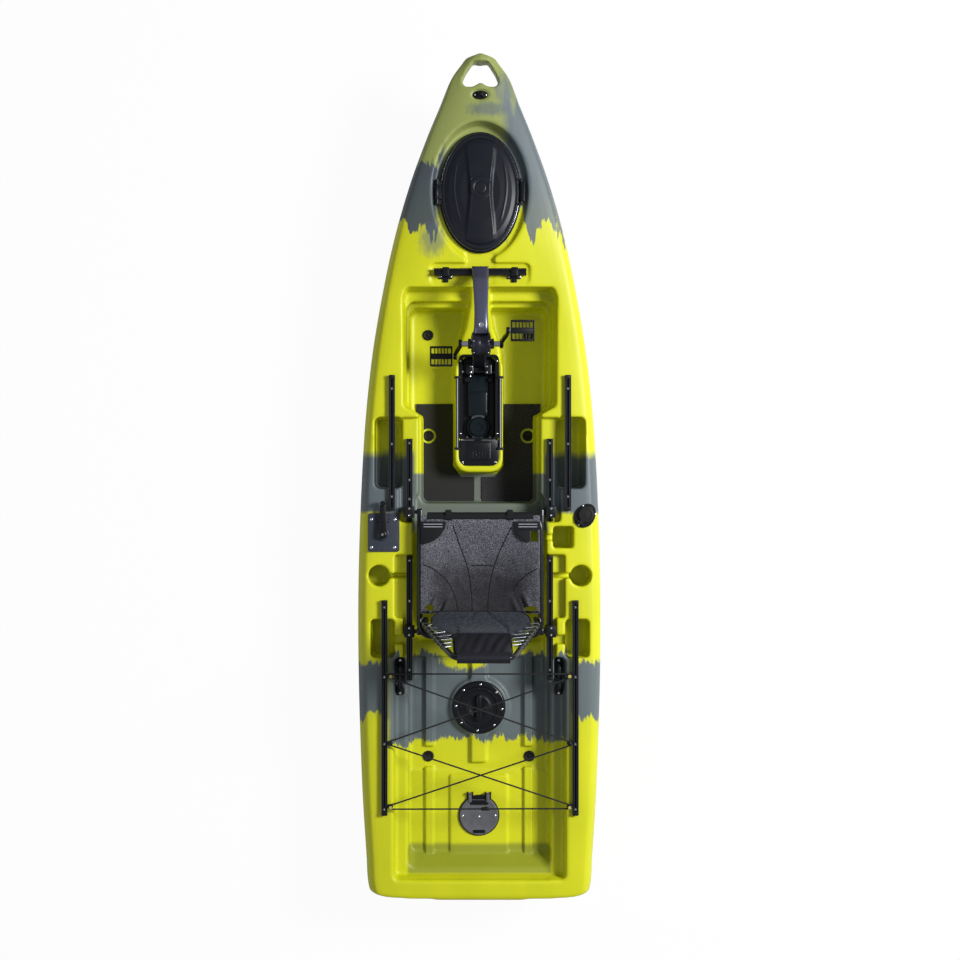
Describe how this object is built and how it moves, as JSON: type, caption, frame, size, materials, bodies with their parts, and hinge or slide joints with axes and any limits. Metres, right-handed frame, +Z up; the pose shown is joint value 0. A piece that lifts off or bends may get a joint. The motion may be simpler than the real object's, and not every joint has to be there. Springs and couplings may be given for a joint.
{
  "type": "fishing kayak",
  "caption": "Sit-on-top fishing kayak with a pedal drive, a hand-steered rudder, deck hatches, accessory tracks, a bungee-laced tank well and a folding mesh seat on rails.",
  "frame": {"origin": "middle of the hull's length and beam, on the flat of its bottom", "axes": "+Y towards the bow, +X to starboard (the paddler's right), +Z up"},
  "size_m": [0.888, 3.05, 0.7528],
  "materials": {
    "hull_plastic": "rotomoulded polyethylene, yellow-green with slate blends",
    "black_plastic": "moulded, fine grain",
    "black_metal": "black anodised",
    "grey_metal": "glossy grey",
    "steel": "turned",
    "foam": "closed-cell foam",
    "mesh_fabric": "coated mesh",
    "padded_fabric": "woven nylon over padding",
    "rubber": "plain",
    "elastic_cord": "braided sheath",
    "grey_plastic": "moulded"
  },
  "bodies": {
    "hull": {"hull": "hull_plastic", "front_hatch_rim": "black_plastic", "front_hatch_gasket": "rubber", "bow_pad_eye": "black_plastic", "crossbar": "black_metal", "saddle_left": "black_plastic", "saddle_right": "black_plastic", "drive_arm": "grey_metal", "drive_housing": "black_metal", "foot_pad_left": "foam", "foot_pad_right": "foam", "front_track_left": "black_metal", "front_track_right": "black_metal", "rear_track_left": "black_metal", "rear_track_right": "black_metal", "seat_rail_front_left": "black_metal", "seat_rail_front_right": "black_metal", "seat_rail_rear_left": "black_metal", "seat_rail_rear_right": "black_metal", "side_handle_left": "rubber", "side_handle_right": "rubber", "well_liner": "black_plastic", "drive_cradle": "black_plastic", "steering_plate": "black_plastic", "rod_holder": "black_plastic", "deck_hatch_ring": "black_plastic", "rear_hatch_ring": "black_plastic", "scupper_plug_front_left": "rubber", "scupper_plug_front_right": "rubber", "scupper_plug_middle_left": "rubber", "scupper_plug_middle_right": "rubber", "scupper_plug_rear_left": "rubber", "scupper_plug_rear_right": "rubber", "steering_cable": "elastic_cord", "bungee": "elastic_cord"},
    "front_hatch_lid": {"front_hatch_lid": "black_plastic"},
    "front_hatch_latch": {"front_hatch_latch": "black_plastic"},
    "deck_hatch_lid": {"deck_hatch_lid": "black_plastic"},
    "rear_hatch_lid": {"rear_hatch_lid": "grey_plastic"},
    "cranks": {"crank_spindle": "steel", "crank_left": "black_metal", "crank_right": "black_metal"},
    "pedal_left": {"pedal_left": "black_plastic"},
    "pedal_right": {"pedal_right": "black_plastic"},
    "drive_shaft": {"drive_shaft": "steel"},
    "drive_leg": {"drive_leg": "black_plastic", "gearbox": "black_plastic"},
    "propeller": {"propeller": "black_plastic"},
    "steering_lever": {"steering_lever": "grey_metal"},
    "rudder": {"rudder_blade": "black_plastic"},
    "seat": {"seat_frame": "black_metal", "seat_sling": "mesh_fabric", "seat_clamp_front_left": "black_plastic", "seat_clamp_front_right": "black_plastic", "seat_clamp_rear_left": "black_plastic", "seat_clamp_rear_right": "black_plastic"},
    "backrest": {"back_frame": "black_metal", "back_sling": "padded_fabric"},
    "rod_holder_cap": {"rod_holder_cap": "black_plastic"}
  },
  "joints": [
    {"name": "front_hatch_hinge", "type": "hinge", "parent": "hull", "child": "front_hatch_lid", "pos_m": [-0.1555, 1.035, 0.3635], "axis": [0, -1, 0], "range_deg": [0, 100]},
    {"name": "front_hatch_latch_flip", "type": "hinge", "parent": "front_hatch_lid", "child": "front_hatch_latch", "pos_m": [0.1475, 1.035, 0.3696], "axis": [0, -1, 0], "range_deg": [0, 100]},
    {"name": "deck_hatch_turn", "type": "hinge", "parent": "hull", "child": "deck_hatch_lid", "pos_m": [0, -0.84, 0.214], "axis": [0, 0, 1], "range_deg": [0, 90]},
    {"name": "rear_hatch_hinge", "type": "hinge", "parent": "hull", "child": "rear_hatch_lid", "pos_m": [0, -1.1568, 0.2265], "axis": [-1, 0, 0], "range_deg": [0, 70]},
    {"name": "crank_spin", "type": "hinge", "parent": "hull", "child": "cranks", "pos_m": [0, 0.4814, 0.45], "axis": [1, 0, 0], "continuous": true},
    {"name": "pedal_left_spin", "type": "hinge", "parent": "cranks", "child": "pedal_left", "pos_m": [-0.14, 0.44775, 0.32443], "axis": [1, 0, 0], "continuous": true},
    {"name": "pedal_right_spin", "type": "hinge", "parent": "cranks", "child": "pedal_right", "pos_m": [0.14, 0.51505, 0.57557], "axis": [1, 0, 0], "continuous": true},
    {"name": "drive_shaft_spin", "type": "hinge", "parent": "hull", "child": "drive_shaft", "pos_m": [0, 0.4814, 0.45], "axis": [0, -0.1807, -0.9835], "continuous": true},
    {"name": "drive_leg_swing", "type": "hinge", "parent": "hull", "child": "drive_leg", "pos_m": [0, 0.418, 0.105], "axis": [1, 0, 0], "range_deg": [0, 90]},
    {"name": "propeller_spin", "type": "hinge", "parent": "drive_leg", "child": "propeller", "pos_m": [0, 0.186, 0.06], "axis": [0, 0, 1], "continuous": true},
    {"name": "steering_lever_turn", "type": "hinge", "parent": "hull", "child": "steering_lever", "pos_m": [-0.351, -0.196, 0.35], "axis": [0, 0, 1], "range_deg": [-30, 30]},
    {"name": "rudder_turn", "type": "hinge", "parent": "hull", "child": "rudder", "pos_m": [0, -1.239, 0.1], "axis": [0, 0, 1], "range_deg": [-30, 30]},
    {"name": "seat_slide", "type": "slide", "parent": "hull", "child": "seat", "axis": [0, 1, 0], "range_m": [0, 0.2]},
    {"name": "backrest_fold", "type": "hinge", "parent": "seat", "child": "backrest", "pos_m": [0, -0.5, 0.412], "axis": [-1, 0, 0], "range_deg": [0, 98]},
    {"name": "rod_holder_cap_hinge", "type": "hinge", "parent": "hull", "child": "rod_holder_cap", "pos_m": [0.36149, -0.15572, 0.341], "axis": [0.8191, -0.5736, 0], "range_deg": [0, 110]}
  ],
  "couplings": [
    {"joint": "drive_shaft_spin", "follows": "crank_spin", "ratio": 2.4},
    {"joint": "propeller_spin", "follows": "crank_spin", "ratio": 8},
    {"joint": "rudder_turn", "follows": "steering_lever_turn", "ratio": -1}
  ]
}
